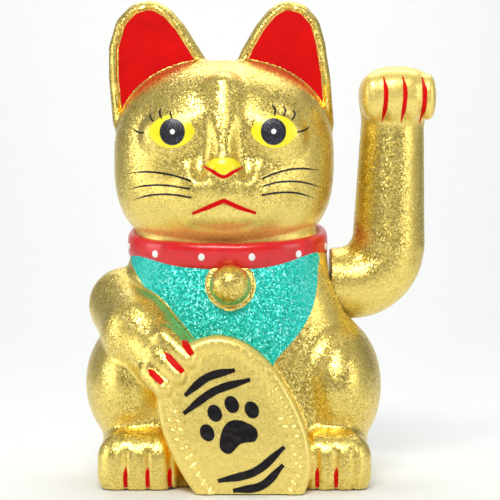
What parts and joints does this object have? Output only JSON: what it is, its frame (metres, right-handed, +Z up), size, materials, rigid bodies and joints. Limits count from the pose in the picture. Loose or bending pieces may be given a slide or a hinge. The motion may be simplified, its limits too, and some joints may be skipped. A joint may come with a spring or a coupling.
{
  "type": "beckoning cat figurine",
  "caption": "Battery-driven figurine of a seated cat with a coin, whose raised paw beckons: the arm swings on a shaft with a pendulum and coil inside.",
  "frame": {"origin": "centre of the flat underside of the base plate, on the surface that the figurine stands on", "axes": "+Z up through the head, -Y the way the cat faces, +X towards the raised paw"},
  "size_m": [0.1466, 0.0997, 0.2],
  "materials": {
    "gold_plastic": "metallised gold with a fine glitter grain",
    "base_plastic": "matt black, moulded",
    "drive_plastic": "moulded, off-white",
    "bobbin_plastic": "moulded, black",
    "switch_metal": "pressed tin-plated steel",
    "screw_steel": "zinc-plated",
    "shaft_steel": "ground",
    "bush_brass": "turned",
    "weight_steel": "turned, dull",
    "magnet_grey": "sintered, dull",
    "copper_wire": "enamelled copper wire",
    "contact_metal": "nickel-plated spring steel",
    "cell_sleeve": "printed sleeve, plain",
    "board_green": "phenolic board",
    "component_black": "moulded",
    "capacitor_sleeve": "shrunk sleeve",
    "resistor_body": "lacquered",
    "lead_red": "insulated lead",
    "lead_yellow": "insulated lead",
    "lead_black": "insulated lead",
    "red_paint": "painted on the ears, collar, claws, nose and mouth",
    "turquoise_paint": "glitter paint on the bib",
    "black_paint": "painted on the eyes and whiskers",
    "white_paint": "painted dots and eye highlights",
    "yellow_paint": "painted on the eyes and nose"
  },
  "bodies": {
    "figure": {"front_shell": "gold_plastic", "back_shell": "gold_plastic", "base_plate": "base_plastic", "base_screws": "screw_steel", "battery_cell": "cell_sleeve", "battery_spring": "contact_metal", "battery_terminal": "contact_metal", "movement_frame": "drive_plastic", "frame_screws": "screw_steel", "shaft_bushes": "bush_brass", "coil_bobbin": "bobbin_plastic", "coil_winding": "copper_wire", "circuit_board": "board_green", "board_screws": "screw_steel", "transistor": "component_black", "capacitor": "capacitor_sleeve", "resistor": "resistor_body", "switch_body": "switch_metal", "lead_red": "lead_red", "lead_yellow": "lead_yellow", "lead_black": "lead_black", "coil_leads": "copper_wire"},
    "raised_arm": {"arm_front": "gold_plastic", "arm_back": "gold_plastic", "arm_hub": "drive_plastic", "swing_shaft": "shaft_steel", "shaft_clips": "shaft_steel", "pendulum_lever": "drive_plastic", "counterweight": "weight_steel", "magnet": "magnet_grey"},
    "battery_door": {"battery_door": "base_plastic"},
    "switch_slider": {"switch_slider": "bobbin_plastic"}
  },
  "joints": [
    {"name": "arm_swing", "type": "hinge", "parent": "figure", "child": "raised_arm", "pos_m": [0, 0, 0.081], "axis": [1, 0, 0], "range_deg": [-18, 18]},
    {"name": "battery_door_hinge", "type": "hinge", "parent": "figure", "child": "battery_door", "pos_m": [-0.012, -0.0262, 0.0013], "axis": [-1, 0, 0], "range_deg": [0, 85]},
    {"name": "switch_slide", "type": "slide", "parent": "figure", "child": "switch_slider", "axis": [0, 1, 0], "range_m": [0, 0.003]}
  ]
}
